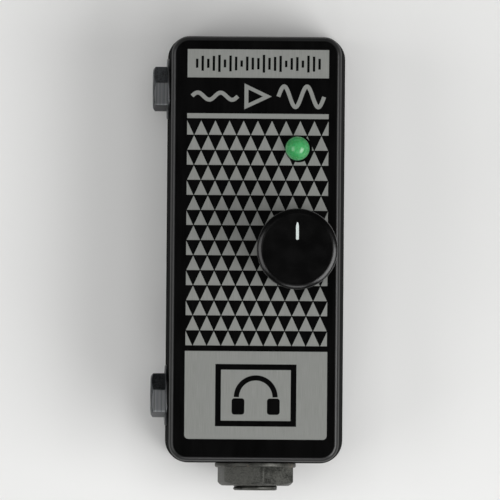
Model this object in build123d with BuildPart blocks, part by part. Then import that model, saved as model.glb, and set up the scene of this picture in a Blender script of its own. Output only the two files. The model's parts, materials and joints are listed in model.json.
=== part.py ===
from build123d import *
import os
from math import atan2, cos, degrees, radians, sin, tan

# Battery-powered headphone amplifier in a small die-cast box. Millimetres.
# Origin: centre of the base plate's underside. +Z is the outward normal of the control face,
# -Y is the end wall with the input jack, and -X is the side wall with the two headphone jacks.

os.makedirs("parts", exist_ok=True)

# ---- Driving dimensions ---------------------------------------------------------------------

# Box
base_width = 38.5
base_length = 92.6
face_width = 36.0
box_height = 31.0
corner_radius = 5.0
face_edge_radius = 1.1
wall = 1.8
face_thickness = 1.9
plate_thickness = 2.2
plate_edge_radius = 0.5

# Base plate's locating tongue, and the corner posts that take the screws
tongue_gap = 0.3
tongue_width = 1.4
tongue_height = 1.5
pad_width = 22.0
pad_length = 38.0
pad_corner = 1.0
pad_gap = 0.05
post_x = 14.3
post_y = 41.5
post_radius = 3.3
post_hole_depth = 12.0

# Countersunk machine screws
screw_radius = 1.4
screw_clearance_radius = 1.8
screw_head_radius = 3.2
countersink_radius = 3.4
screw_length = 11.0
screw_recess = 0.1
thread_gap = 0.05
cross_length = 3.4
cross_width = 0.7
cross_depth = 1.2
cross_taper = 12

# Volume control
knob_x = 8.8
knob_y = 0.0
knob_radius = 8.5
knob_bottom = 31.9
knob_top = 45.3
knob_shoulder = 1.3
knob_recess_radius = 6.4
knob_recess_top = 34.6
knob_foot_chamfer = 0.3
pointer_start = 1.95
pointer_end = 5.65
pointer_width = 0.6
pointer_depth = 0.35
pointer_proud = 0.02
insert_radius = 4.6
insert_top = 43.2
shaft_radius = 3.0
shaft_top = 42.8
shaft_chamfer = 0.4
shaft_flat_start = 35.0
shaft_flat_depth = 1.5
grub_height = 38.4
grub_radius = 1.5
grub_length = 5.0
grub_chamfer = 0.25
grub_key_radius = 0.75
grub_key_depth = 1.6
running_gap = 0.04
pot_bush_radius = 3.5
pot_bush_top = 34.1
pot_hole_gap = 0.1
pot_width = 9.8
pot_depth = 11.0
pot_corner = 0.6
pot_bottom = 22.6
pot_floor = 0.8
pot_cavity_radius = 4.3
pot_plate_thickness = 1.1
pot_plate_margin = (0.2, 0.4)
pot_pin_pitch = (2.5, 7.6)
pot_washer_radius = 5.3
pot_washer_height = 0.4
pot_nut_flats = 10.0
pot_nut_height = 2.0
pot_nut_turn = 12.0
track_thickness = 0.5
track_inner_radius = 1.2
rotor_radius = 3.9
rotor_thickness = 1.3
rotor_lift = 1.0
wiper_arc_radii = (3.8, 2.4)
wiper_thickness = 0.3
wiper_finger = (1.6, 0.8)
wiper_finger_place = (0, 3.1)
wiper_finger_gap = 0.1
wiper_cut_depth = 6.8

# Indicator, 5 mm with a flange
led_x = 8.8
led_y = 21.4
led_radius = 2.5
led_flange_radius = 2.9
led_flange_bottom = 25.4
led_flange_height = 1.0
led_top = 34.0
led_hole_gap = 0.08
led_lead_pitch = 2.54

# Input jack, 1/4 inch, open frame. Distances run outwards from the wall's outer face.
jack_height = 15.0
input_jack_x = 0.4
input_bore = 3.25
input_thread_radius = 4.76
input_flange_radius = 6.4
input_flange_back = -3.2
input_collar_radius = 4.6
input_collar_back = -5.2
input_bush_end = 6.0
input_bush_chamfer = 0.4
input_washer_radius = 8.7
input_washer_height = 1.1
input_nut_height = 3.9
input_nut_flats = 15.0
input_nut_turn = 19.5
jack_hole_gap = 0.1
nut_gap = 0.02
washer_gap = 0.1

# Headphone jacks, 3.5 mm, in a moulded housing
headphone_jack_y = {"upper": 34.3, "lower": -31.5}
headphone_nut_turn = {"upper": -16.0, "lower": -15.0}
headphone_bore = 1.8
headphone_thread_radius = 3.5
headphone_flange_radius = 4.1
headphone_bush_chamfer = 0.3
headphone_washer_radius = 6.5
headphone_washer_height = 0.5
headphone_nut_height = 3.0
headphone_nut_flats = 8.6
housing_size = 7.4
housing_bore = 2.4
housing_front = -2.8
housing_back = -12.3
housing_corner = 0.8
housing_end_thickness = 1.0
pin_row = 3.0
pin_pitch = 2.6
pin_section = (1.2, 0.4)
pin_length = 1.2

# Battery, 9 V block type, lying on its wide side with its terminals towards -Y
battery_width = 26.2
battery_length = 45.8
battery_thickness = 17.0
battery_corner = 2.2
battery_end_edge = 0.5
battery_end_y = -16.4
battery_bottom = 3.1
terminal_pitch = 12.7
terminal_height = 2.1
stud_radius = 2.8
socket_radius = 4.2
socket_bore = 2.9
snap_back = 0.4
snap_front = 4.3
snap_width = 25.4
snap_depth = 12.6
snap_corner = 5.5
snap_edge = 0.8
snap_gap = 0.3
snap_floor_gap = 0.2
sheet_width = 27.0
sheet_corner = 1.0
sheet_thickness = 0.25
sheet_gap = 0.05

# Circuit board
board_bottom = 20.8
board_thickness = 1.6
board_width = 31.2
board_low_y = -24.0
board_high_y = 37.4
board_corner = 1.0
lead_end = 20.5
lead_size = 0.5
lead_hole_radius = 0.5

# Parts on the board
chip_place = (-4.0, 12.0)
chip_size = (6.4, 9.6)
chip_standoff = 0.5
chip_thickness = 3.3
chip_notch_radius = 0.8
chip_leg_pitch = (7.1, 2.54)
chip_leg_section = (0.5, 1.0)
chip_leg_height = 2.4
can_places = [(-10.2, -17.0), (-10.2, -9.0), (-10.2, -1.0), (0.0, -13.0)]
can_radius = 3.15
can_height = 5.6
can_edge = 0.5
film_places = [(-12.6, 8.0), (-12.6, 17.0)]
film_size = (3.0, 7.2)
film_corner = 0.4
film_height = 6.0
resistor_places = [(x, y) for x in (-6.5, 6.5) for y in (27.0, 30.0, 33.0, 36.0)]
resistor_pitch = 10.16
resistor_length = 6.3
resistor_radius = 1.1
resistor_height = 1.2
resistor_lead_radius = 0.28
resistor_lead_bend = 0.7

# Wires
wire_radius = 0.6
wire_bend = 1.4
jack_wire_bend = 0.9
battery_lead_x = {"red": -9.6, "black": 9.6}
battery_lead_z = 12.5
battery_lead_reach = 2.2
input_wire_reach = (9.0, 8.0)
input_wire_z = 25.4
input_wire_landing = 2.5
jack_wire_reach = 1.1
jack_wire_crest = 2.0
jack_wire_layer = 1.4
jack_wire_landing = 1.6

# ---- Derived values -------------------------------------------------------------------------

draft_slope = (base_width - face_width) / 2 / (box_height - plate_thickness)
draft_angle = degrees(atan2(draft_slope, 1))
wall_setback = (jack_height - plate_thickness) * draft_slope
face_inside = box_height - face_thickness
mouth_width = base_width - 2 * wall
mouth_length = base_length - 2 * wall
mouth_radius = corner_radius - wall
board_top = board_bottom + board_thickness
battery_middle_y = battery_end_y + battery_length / 2

knob_plane = Plane(origin=(knob_x, knob_y, 0))

# Planes on the outside of a drafted wall, square to it: local X runs sideways, local Y runs up
# the wall, and local Z points out of the box
normal_out = cos(radians(draft_angle))
normal_up = sin(radians(draft_angle))
input_plane = Plane(
    origin=(input_jack_x, -base_length / 2 + wall_setback, jack_height),
    x_dir=(1, 0, 0),
    z_dir=(0, -normal_out, normal_up),
)
headphone_plane = {
    place: Plane(
        origin=(-base_width / 2 + wall_setback, jack_y, jack_height),
        x_dir=(0, -1, 0),
        z_dir=(-normal_out, 0, normal_up),
    )
    for place, jack_y in headphone_jack_y.items()
}

# Plane across the battery's terminal end, facing out of the battery
battery_plane = Plane(
    origin=(0, battery_end_y, battery_bottom + battery_thickness / 2),
    x_dir=(1, 0, 0),
    z_dir=(0, -1, 0),
)


# ---- Shared shapes --------------------------------------------------------------------------


def add_ring(plane, low, high, outer, inner):
    """Add a ring between two heights above a plane."""
    with BuildSketch(plane.offset(low)) as section:
        Circle(outer)
        Circle(inner, mode=Mode.SUBTRACT)
    extrude(section.sketch, amount=high - low)


def add_bar(plane, low, high, centre, size, mode=Mode.ADD):
    """Add or cut a rectangular bar between two heights above a plane."""
    with BuildSketch(plane.offset(low)) as section:
        with Locations(centre):
            Rectangle(*size)
    extrude(section.sketch, amount=high - low, mode=mode)


def turn_profile(plane, points, mode=Mode.ADD):
    """Revolve a closed outline of (radius, height above the plane) points about the plane's Z."""
    radial = Plane(plane.origin, x_dir=plane.x_dir, z_dir=plane.x_dir.cross(plane.z_dir))
    with BuildSketch(radial) as section:
        with BuildLine():
            Polyline(*points, close=True)
        make_face()
    revolve(section.sketch, axis=Axis(plane.origin, plane.z_dir), mode=mode)


def add_hex_nut(plane, low, high, flats, bore, turn):
    """Add a hexagon nut with its corners turned off at both faces."""
    corner = flats / 2 / cos(radians(30))
    flat_rim = 0.475 * flats
    drop = (corner - flat_rim) * tan(radians(30))
    with BuildSketch(plane.offset(low)) as hexagon:
        RegularPolygon(corner, 6, rotation=turn)
    extrude(hexagon.sketch, amount=high - low)
    outline = [(bore, low), (flat_rim, low), (corner, low + drop)]
    outline += [(corner, high - drop), (flat_rim, high), (bore, high)]
    turn_profile(plane, outline, mode=Mode.INTERSECT)


def add_leaf(plane, middle, width, profile, thickness):
    """Add a bent strip: (height, distance out) points thickened, and as wide as stated."""
    side = Plane(plane.origin, x_dir=plane.y_dir, z_dir=plane.x_dir).offset(middle)
    with BuildSketch(side) as section:
        with BuildLine() as spine:
            Polyline(*profile)
        trace(spine.line, line_width=thickness)
    extrude(section.sketch, amount=width / 2, both=True)


def add_wire(route, bend=wire_bend):
    """Add a round wire along straight runs joined by arcs."""
    with BuildLine() as path:
        FilletPolyline(*route, radius=bend)
    with BuildSketch(Plane(origin=path.line @ 0, z_dir=path.line % 0)) as section:
        Circle(wire_radius)
    sweep(section.sketch, path=path.line)


def on_plane(plane, sideways, up, out):
    """Point given in a wall plane's own directions."""
    return plane.from_local_coords(Vector(sideways, up, out))


# ---- Base plate, its screws and the battery pad -----------------------------------------------

with BuildPart() as base_plate:
    with BuildSketch():
        RectangleRounded(base_width, base_length, corner_radius)
    extrude(amount=plate_thickness)
    fillet(base_plate.faces().sort_by(Axis.Z)[0].edges(), plate_edge_radius)
    with BuildSketch(Plane.XY.offset(plate_thickness)):
        RectangleRounded(
            mouth_width - 2 * tongue_gap,
            mouth_length - 2 * tongue_gap,
            mouth_radius - tongue_gap,
        )
        offset(amount=-tongue_width, mode=Mode.SUBTRACT)
        with GridLocations(2 * post_x, 2 * post_y, 2, 2):
            Circle(post_radius + tongue_gap, mode=Mode.SUBTRACT)
    extrude(amount=tongue_height)
    with Locations(Plane(origin=(0, 0, 0), z_dir=(0, 0, -1))):
        with GridLocations(2 * post_x, 2 * post_y, 2, 2):
            CounterSinkHole(screw_clearance_radius, countersink_radius, counter_sink_angle=90)

base_plate.part.label = "base_plate"
export_step(base_plate.part, "parts/base_plate.step")

with BuildPart() as lid_screws:
    with Locations(Plane.XY.offset(screw_recess)):
        with GridLocations(2 * post_x, 2 * post_y, 2, 2):
            Cylinder(screw_radius, screw_length, align=(Align.CENTER, Align.CENTER, Align.MIN))
            Cone(
                screw_head_radius,
                screw_radius,
                screw_head_radius - screw_radius,
                align=(Align.CENTER, Align.CENTER, Align.MIN),
            )
    with BuildSketch(Plane.XY.offset(screw_recess)):
        with GridLocations(2 * post_x, 2 * post_y, 2, 2):
            Rectangle(cross_length, cross_width)
            Rectangle(cross_width, cross_length)
    extrude(amount=cross_depth, taper=cross_taper, mode=Mode.SUBTRACT)

lid_screws.part.label = "lid_screws"
export_step(lid_screws.part, "parts/lid_screws.step")

with BuildPart() as battery_pad:
    with BuildSketch(Plane.XY.offset(plate_thickness)):
        with Locations((0, battery_middle_y)):
            RectangleRounded(pad_width, pad_length, pad_corner)
    extrude(amount=battery_bottom - plate_thickness - pad_gap)

battery_pad.part.label = "battery_pad"
export_step(battery_pad.part, "parts/battery_pad.step")

# ---- Die-cast box -----------------------------------------------------------------------------

with BuildPart() as enclosure:
    with BuildSketch(Plane.XY.offset(plate_thickness)):
        RectangleRounded(base_width, base_length, corner_radius)
    extrude(amount=box_height - plate_thickness, taper=draft_angle)
    fillet(enclosure.faces().sort_by(Axis.Z)[-1].edges(), face_edge_radius)
    with BuildSketch(Plane.XY.offset(plate_thickness)):
        RectangleRounded(mouth_width, mouth_length, mouth_radius)
    extrude(amount=face_inside - plate_thickness, taper=draft_angle, mode=Mode.SUBTRACT)
    with BuildSketch(Plane.XY.offset(plate_thickness)):
        with GridLocations(2 * post_x, 2 * post_y, 2, 2):
            Circle(post_radius)
    extrude(amount=face_inside - plate_thickness)
    with Locations(Plane(origin=(0, 0, plate_thickness), z_dir=(0, 0, -1))):
        with GridLocations(2 * post_x, 2 * post_y, 2, 2):
            Hole(screw_radius + thread_gap, post_hole_depth)
    with Locations((knob_x, knob_y, box_height)):
        Hole(pot_bush_radius + pot_hole_gap, 2 * face_thickness)
    with Locations((led_x, led_y, box_height)):
        Hole(led_radius + led_hole_gap, 2 * face_thickness)
    with Locations(input_plane):
        Hole(input_thread_radius + jack_hole_gap, 2 * wall)
    with Locations(*headphone_plane.values()):
        Hole(headphone_thread_radius + jack_hole_gap, 2 * wall)

enclosure.part.label = "enclosure"
export_step(enclosure.part, "parts/enclosure.step")

# ---- Volume control: the potentiometer --------------------------------------------------------

pot_plate_bottom = face_inside - pot_plate_thickness
with BuildPart() as pot_bush:
    with BuildSketch(Plane.XY.offset(pot_plate_bottom)):
        with Locations((knob_x, knob_y)):
            Rectangle(pot_width - pot_plate_margin[0], pot_depth - pot_plate_margin[1])
    extrude(amount=pot_plate_thickness)
    with BuildSketch(Plane.XY.offset(face_inside)):
        with Locations((knob_x, knob_y)):
            Circle(pot_bush_radius)
    extrude(amount=pot_bush_top - face_inside)
    chamfer(pot_bush.faces().sort_by(Axis.Z)[-1].edges(), 0.3)
    with Locations((knob_x, knob_y, pot_bush_top)):
        Hole(shaft_radius + running_gap)

pot_bush.part.label = "pot_bush"
export_step(pot_bush.part, "parts/pot_bush.step")

with BuildPart() as pot_housing:
    with BuildSketch(Plane.XY.offset(pot_bottom)):
        with Locations((knob_x, knob_y)):
            RectangleRounded(pot_width, pot_depth, pot_corner)
    extrude(amount=pot_plate_bottom - pot_bottom)
    with BuildSketch(Plane.XY.offset(pot_bottom + pot_floor)):
        with Locations((knob_x, knob_y)):
            Circle(pot_cavity_radius)
    extrude(amount=box_height, mode=Mode.SUBTRACT)

pot_housing.part.label = "pot_housing"
export_step(pot_housing.part, "parts/pot_housing.step")

track_bottom = pot_bottom + pot_floor
track_top = track_bottom + track_thickness
with BuildPart() as pot_track:
    add_ring(
        knob_plane, track_bottom, track_top, pot_cavity_radius - thread_gap, track_inner_radius
    )

pot_track.part.label = "pot_track"
export_step(pot_track.part, "parts/pot_track.step")

with BuildPart() as pot_pins:
    with BuildSketch(Plane.XY.offset(lead_end)):
        with Locations((knob_x, knob_y)):
            with GridLocations(*pot_pin_pitch, 3, 2):
                Rectangle(lead_size, lead_size)
    extrude(amount=pot_bottom - lead_end)

pot_pins.part.label = "pot_pins"
export_step(pot_pins.part, "parts/pot_pins.step")

rotor_bottom = track_top + rotor_lift
with BuildPart() as pot_rotor:
    add_ring(
        knob_plane, rotor_bottom, rotor_bottom + rotor_thickness, rotor_radius, shaft_radius
    )

pot_rotor.part.label = "pot_rotor"
export_step(pot_rotor.part, "parts/pot_rotor.step")

# A half ring under the rotor, and a finger that stops just short of the track
wiper_bottom = rotor_bottom - wiper_thickness
with BuildPart() as pot_wiper:
    add_ring(knob_plane, wiper_bottom, rotor_bottom, *wiper_arc_radii)
    add_bar(
        knob_plane,
        wiper_bottom,
        rotor_bottom,
        (0, -rotor_radius),
        (2 * rotor_radius, wiper_cut_depth),
        mode=Mode.SUBTRACT,
    )
    add_bar(knob_plane, track_top + wiper_finger_gap, wiper_bottom, wiper_finger_place, wiper_finger)

pot_wiper.part.label = "pot_wiper"
export_step(pot_wiper.part, "parts/pot_wiper.step")

with BuildPart() as pot_shaft:
    with BuildSketch(Plane.XY.offset(rotor_bottom)):
        with Locations((knob_x, knob_y)):
            Circle(shaft_radius)
    extrude(amount=shaft_top - rotor_bottom)
    chamfer(pot_shaft.faces().sort_by(Axis.Z)[-1].edges(), shaft_chamfer)
    add_bar(
        knob_plane,
        shaft_flat_start,
        shaft_top,
        (0, -shaft_radius),
        (2 * shaft_radius, 2 * shaft_flat_depth),
        mode=Mode.SUBTRACT,
    )

pot_shaft.part.label = "pot_shaft"
export_step(pot_shaft.part, "parts/pot_shaft.step")

with BuildPart() as pot_washer:
    add_ring(
        knob_plane,
        box_height,
        box_height + pot_washer_height,
        pot_washer_radius,
        pot_bush_radius + thread_gap,
    )

pot_washer.part.label = "pot_washer"
export_step(pot_washer.part, "parts/pot_washer.step")

pot_nut_bottom = box_height + pot_washer_height
with BuildPart() as pot_nut:
    add_hex_nut(
        knob_plane,
        pot_nut_bottom,
        pot_nut_bottom + pot_nut_height,
        pot_nut_flats,
        pot_bush_radius + nut_gap,
        pot_nut_turn,
    )

pot_nut.part.label = "pot_nut"
export_step(pot_nut.part, "parts/pot_nut.step")

# ---- Volume control: the knob -----------------------------------------------------------------

with BuildPart() as knob_body:
    with BuildSketch(Plane.XY.offset(knob_bottom)):
        with Locations((knob_x, knob_y)):
            Circle(knob_radius)
    extrude(amount=knob_top - knob_bottom)
    fillet(knob_body.faces().sort_by(Axis.Z)[-1].edges(), knob_shoulder)
    chamfer(knob_body.faces().sort_by(Axis.Z)[0].edges(), knob_foot_chamfer)
    add_bar(
        knob_plane,
        knob_top - pointer_depth,
        knob_top,
        (0, (pointer_start + pointer_end) / 2),
        (pointer_width, pointer_end - pointer_start),
        mode=Mode.SUBTRACT,
    )
    with Locations(Plane(origin=(knob_x, knob_y, knob_bottom), z_dir=(0, 0, -1))):
        CounterBoreHole(
            insert_radius,
            knob_recess_radius,
            knob_recess_top - knob_bottom,
            depth=insert_top - knob_bottom,
        )
    with Locations(Plane(origin=(knob_x, knob_y - knob_radius, grub_height), z_dir=(0, -1, 0))):
        Hole(grub_radius + thread_gap, knob_radius - insert_radius + 1)

knob_body.part.label = "knob_body"
export_step(knob_body.part, "parts/knob_body.step")

with BuildPart() as knob_pointer:
    with BuildSketch(Plane.XY.offset(knob_top - pointer_depth)):
        with Locations((knob_x, knob_y + pointer_start)):
            Rectangle(
                pointer_width, pointer_end - pointer_start, align=(Align.CENTER, Align.MIN)
            )
    extrude(amount=pointer_depth + pointer_proud)

knob_pointer.part.label = "knob_pointer"
export_step(knob_pointer.part, "parts/knob_pointer.step")

with BuildPart() as knob_insert:
    add_ring(knob_plane, knob_recess_top, insert_top, insert_radius, shaft_radius + nut_gap)
    with Locations(Plane(origin=(knob_x, knob_y - insert_radius, grub_height), z_dir=(0, -1, 0))):
        Hole(grub_radius + thread_gap, insert_radius - shaft_radius + 1)

knob_insert.part.label = "knob_insert"
export_step(knob_insert.part, "parts/knob_insert.step")

grub_tip = shaft_radius - shaft_flat_depth
with BuildPart() as knob_grub_screw:
    with BuildSketch(Plane(origin=(knob_x, knob_y - grub_tip, grub_height), z_dir=(0, -1, 0))):
        Circle(grub_radius)
    extrude(amount=grub_length)
    chamfer(knob_grub_screw.edges().filter_by(GeomType.CIRCLE), grub_chamfer)
    with BuildSketch(
        Plane(origin=(knob_x, knob_y - grub_tip - grub_length, grub_height), z_dir=(0, 1, 0))
    ):
        RegularPolygon(grub_key_radius, 6, major_radius=False)
    extrude(amount=grub_key_depth, mode=Mode.SUBTRACT)

knob_grub_screw.part.label = "knob_grub_screw"
export_step(knob_grub_screw.part, "parts/knob_grub_screw.step")

# ---- Indicator --------------------------------------------------------------------------------

with BuildPart() as led_lens:
    with BuildSketch(Plane.XY.offset(led_flange_bottom)):
        with Locations((led_x, led_y)):
            Circle(led_flange_radius)
    extrude(amount=led_flange_height)
    with BuildSketch(Plane.XY.offset(led_flange_bottom)):
        with Locations((led_x, led_y)):
            Circle(led_radius)
    extrude(amount=led_top - led_radius - led_flange_bottom)
    with Locations((led_x, led_y, led_top - led_radius)):
        Sphere(led_radius)

led_lens.part.label = "led_lens"
export_step(led_lens.part, "parts/led_lens.step")

with BuildPart() as led_leads:
    with BuildSketch(Plane.XY.offset(lead_end)):
        with Locations((led_x, led_y)):
            with GridLocations(led_lead_pitch, 1, 2, 1):
                Rectangle(lead_size, lead_size)
    extrude(amount=led_flange_bottom - lead_end)

led_leads.part.label = "led_leads"
export_step(led_leads.part, "parts/led_leads.step")

# ---- Input jack -------------------------------------------------------------------------------

with BuildPart() as input_jack_bush:
    turn_profile(
        input_plane,
        [
            (input_bore, input_collar_back),
            (input_collar_radius, input_collar_back),
            (input_collar_radius, input_flange_back),
            (input_flange_radius, input_flange_back),
            (input_flange_radius, -wall),
            (input_thread_radius, -wall),
            (input_thread_radius, input_bush_end - input_bush_chamfer),
            (input_thread_radius - input_bush_chamfer, input_bush_end),
            (input_bore, input_bush_end),
        ],
    )

input_jack_bush.part.label = "input_jack_bush"
export_step(input_jack_bush.part, "parts/input_jack_bush.step")

# The frame is a ring behind the bush's flange, with an arm that runs inwards below the plug
arm_top = -6.6
arm_thickness = 0.9
arm_width = 8.0
arm_end = -15.0
with BuildPart() as input_jack_frame:
    with BuildSketch(input_plane.offset(input_flange_back - arm_thickness)):
        Circle(input_flange_radius)
        with Locations((0, arm_top)):
            Rectangle(arm_width, 2 * arm_thickness)
        with Locations((0, arm_top / 2)):
            Rectangle(arm_width, -arm_top)
        Circle(input_collar_radius, mode=Mode.SUBTRACT)
    extrude(amount=arm_thickness)
    add_bar(
        input_plane,
        arm_end,
        input_flange_back,
        (0, arm_top - arm_thickness / 2),
        (arm_width, arm_thickness),
    )

input_jack_frame.part.label = "input_jack_frame"
export_step(input_jack_frame.part, "parts/input_jack_frame.step")

# Contact stack on the arm: insulators with the tip's and the ring's lug between them
stack_near = -6.2
stack_far = -11.0
stack_middle = (stack_near + stack_far) / 2
insulator_thickness = 0.6
insulator_width = 7.0
spring_thickness = 0.4
spring_clearance = 0.15
layer = insulator_thickness + spring_thickness
insulator_levels = [arm_top, arm_top + layer, arm_top + 2 * layer]
lug_levels = [arm_top + insulator_thickness, arm_top + layer + insulator_thickness]
lug_size = (9.0, 3.9)
lug_offset = 1.5
lug_hole_place = 4.9
lug_hole_radius = 0.55
rivet_radius = 0.6
rivet_clearance = 0.3
rivet_head_radius = 1.0
rivet_head_height = 0.35
rivet_places = [(0, -1.2), (0, 1.2)]
stack_top = insulator_levels[-1] + insulator_thickness


def stack_plane(level):
    """Plane across the contact stack at a height above the input plane's centre."""
    return Plane(
        on_plane(input_plane, 0, level, stack_middle),
        x_dir=input_plane.x_dir,
        z_dir=input_plane.y_dir,
    )


with BuildPart() as input_jack_insulators:
    for level in insulator_levels:
        with BuildSketch(stack_plane(level)) as insulator:
            Rectangle(insulator_width, stack_near - stack_far)
            with Locations(*rivet_places):
                Circle(rivet_radius + nut_gap, mode=Mode.SUBTRACT)
        extrude(insulator.sketch, amount=insulator_thickness)

input_jack_insulators.part.label = "input_jack_insulators"
export_step(input_jack_insulators.part, "parts/input_jack_insulators.step")

# Tinned lugs clamped in the stack, each standing out at one side for its wire
with BuildPart() as input_jack_lugs:
    for level, side in zip(lug_levels, (1, -1)):
        with BuildSketch(stack_plane(level)) as lug:
            with Locations((side * lug_offset, 0)):
                Rectangle(*lug_size)
            with Locations(*rivet_places):
                Circle(rivet_radius + rivet_clearance, mode=Mode.SUBTRACT)
            with Locations((side * lug_hole_place, 0)):
                Circle(lug_hole_radius, mode=Mode.SUBTRACT)
        extrude(lug.sketch, amount=spring_thickness)

input_jack_lugs.part.label = "input_jack_lugs"
export_step(input_jack_lugs.part, "parts/input_jack_lugs.step")

with BuildPart() as input_jack_rivets:
    with BuildSketch(stack_plane(arm_top)) as shanks:
        with Locations(*rivet_places):
            Circle(rivet_radius)
    extrude(shanks.sketch, amount=stack_top - arm_top)
    with BuildSketch(stack_plane(stack_top)) as heads:
        with Locations(*rivet_places):
            Circle(rivet_head_radius)
    extrude(heads.sketch, amount=rivet_head_height)

input_jack_rivets.part.label = "input_jack_rivets"
export_step(input_jack_rivets.part, "parts/input_jack_rivets.step")

# Free length of each leaf: it starts at the stack's inner edge and ends in a bent contact
spring_root = stack_far - spring_clearance
tip_level = lug_levels[0] + spring_thickness / 2
ring_level = lug_levels[1] + spring_thickness / 2
with BuildPart() as input_jack_tip_spring:
    add_leaf(
        input_plane,
        0,
        4.0,
        [
            (tip_level, spring_root),
            (tip_level, -19.6),
            (-2.6, -21.8),
            (-4.2, -23.2),
        ],
        spring_thickness,
    )

input_jack_tip_spring.part.label = "input_jack_tip_spring"
export_step(input_jack_tip_spring.part, "parts/input_jack_tip_spring.step")

with BuildPart() as input_jack_ring_spring:
    add_leaf(
        input_plane,
        0,
        3.0,
        [
            (ring_level, spring_root),
            (ring_level, -13.6),
            (-2.9, -15.4),
            (-4.0, -16.6),
        ],
        spring_thickness,
    )

input_jack_ring_spring.part.label = "input_jack_ring_spring"
export_step(input_jack_ring_spring.part, "parts/input_jack_ring_spring.step")

with BuildPart() as input_jack_washer:
    add_ring(input_plane, 0, input_washer_height, input_washer_radius, input_thread_radius + washer_gap)

input_jack_washer.part.label = "input_jack_washer"
export_step(input_jack_washer.part, "parts/input_jack_washer.step")

with BuildPart() as input_jack_nut:
    add_hex_nut(
        input_plane,
        input_washer_height,
        input_washer_height + input_nut_height,
        input_nut_flats,
        input_thread_radius + nut_gap,
        input_nut_turn,
    )

input_jack_nut.part.label = "input_jack_nut"
export_step(input_jack_nut.part, "parts/input_jack_nut.step")

# ---- Headphone jacks --------------------------------------------------------------------------

headphone_bush_end = headphone_washer_height + headphone_nut_height
pocket_front = -4.4
pocket_place = (0, -1.75)
pocket_size = (2.8, 3.1)
headphone_spring_width = 2.2
headphone_spring_thickness = 0.25
headphone_spring = [(-2.6, -4.6), (-2.6, -8.2), (-1.5, -9.6), (-2.2, -10.8)]
housing_inside = housing_back + housing_end_thickness
for place, plane in headphone_plane.items():
    with BuildPart() as bush:
        turn_profile(
            plane,
            [
                (headphone_bore, housing_front),
                (headphone_flange_radius, housing_front),
                (headphone_flange_radius, -wall),
                (headphone_thread_radius, -wall),
                (headphone_thread_radius, headphone_bush_end - headphone_bush_chamfer),
                (headphone_thread_radius - headphone_bush_chamfer, headphone_bush_end),
                (headphone_bore, headphone_bush_end),
            ],
        )

    bush.part.label = f"headphone_jack_{place}_bush"
    export_step(bush.part, f"parts/{bush.part.label}.step")

    with BuildPart() as housing:
        with BuildSketch(plane.offset(housing_back)):
            RectangleRounded(housing_size, housing_size, housing_corner)
        extrude(amount=housing_front - housing_back)
        with BuildSketch(plane.offset(housing_inside)):
            Circle(housing_bore)
        extrude(amount=housing_front - housing_back, mode=Mode.SUBTRACT)
        # Pocket below the plug for the tip's contact spring
        add_bar(
            plane, housing_inside, pocket_front, pocket_place, pocket_size, mode=Mode.SUBTRACT
        )

    housing.part.label = f"headphone_jack_{place}_housing"
    export_step(housing.part, f"parts/{housing.part.label}.step")

    with BuildPart() as spring:
        add_leaf(
            plane, 0, headphone_spring_width, headphone_spring, headphone_spring_thickness
        )

    spring.part.label = f"headphone_jack_{place}_spring"
    export_step(spring.part, f"parts/{spring.part.label}.step")

    with BuildPart() as pins:
        with BuildSketch(plane.offset(housing_back - pin_length)):
            with Locations((-pin_pitch, pin_row), (0, pin_row), (pin_pitch, pin_row)):
                Rectangle(*pin_section)
        extrude(amount=pin_length)

    pins.part.label = f"headphone_jack_{place}_pins"
    export_step(pins.part, f"parts/{pins.part.label}.step")

    with BuildPart() as washer:
        add_ring(
            plane,
            0,
            headphone_washer_height,
            headphone_washer_radius,
            headphone_thread_radius + washer_gap,
        )

    washer.part.label = f"headphone_jack_{place}_washer"
    export_step(washer.part, f"parts/{washer.part.label}.step")

    with BuildPart() as nut:
        add_hex_nut(
            plane,
            headphone_washer_height,
            headphone_bush_end,
            headphone_nut_flats,
            headphone_thread_radius + nut_gap,
            headphone_nut_turn[place],
        )

    nut.part.label = f"headphone_jack_{place}_nut"
    export_step(nut.part, f"parts/{nut.part.label}.step")

# ---- Battery and its connector ----------------------------------------------------------------

with BuildPart() as battery:
    with BuildSketch(battery_plane):
        RectangleRounded(battery_width, battery_thickness, battery_corner)
    extrude(amount=-battery_length)
    fillet(battery.faces().sort_by(Axis.Y)[0].edges(), battery_end_edge)
    fillet(battery.faces().sort_by(Axis.Y)[-1].edges(), battery_end_edge)

battery.part.label = "battery"
export_step(battery.part, "parts/battery.step")

with BuildPart() as battery_terminals:
    with BuildSketch(battery_plane):
        with Locations((-terminal_pitch / 2, 0)):
            Circle(stud_radius)
        with Locations((terminal_pitch / 2, 0)):
            RegularPolygon(socket_radius, 6)
            Circle(socket_bore, mode=Mode.SUBTRACT)
    extrude(amount=terminal_height)

battery_terminals.part.label = "battery_terminals"
export_step(battery_terminals.part, "parts/battery_terminals.step")

with BuildPart() as battery_snap:
    with BuildSketch(battery_plane.offset(snap_back)):
        RectangleRounded(snap_width, snap_depth, snap_corner)
    extrude(amount=snap_front - snap_back)
    fillet(battery_snap.faces().sort_by(Axis.Y)[0].edges(), snap_edge)
    with BuildSketch(battery_plane.offset(snap_back)):
        with Locations((-terminal_pitch / 2, 0)):
            Circle(stud_radius + snap_gap)
        with Locations((terminal_pitch / 2, 0)):
            Circle(socket_radius + snap_gap)
    extrude(amount=terminal_height - snap_back + snap_floor_gap, mode=Mode.SUBTRACT)

battery_snap.part.label = "battery_snap"
export_step(battery_snap.part, "parts/battery_snap.step")

with BuildPart() as insulating_sheet:
    with BuildSketch(Plane.XY.offset(battery_bottom + battery_thickness + sheet_gap)):
        with Locations((0, battery_middle_y)):
            RectangleRounded(sheet_width, battery_length, sheet_corner)
    extrude(amount=sheet_thickness)

insulating_sheet.part.label = "insulating_sheet"
export_step(insulating_sheet.part, "parts/insulating_sheet.step")

# ---- Circuit board and what is soldered to it ---------------------------------------------------

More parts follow.
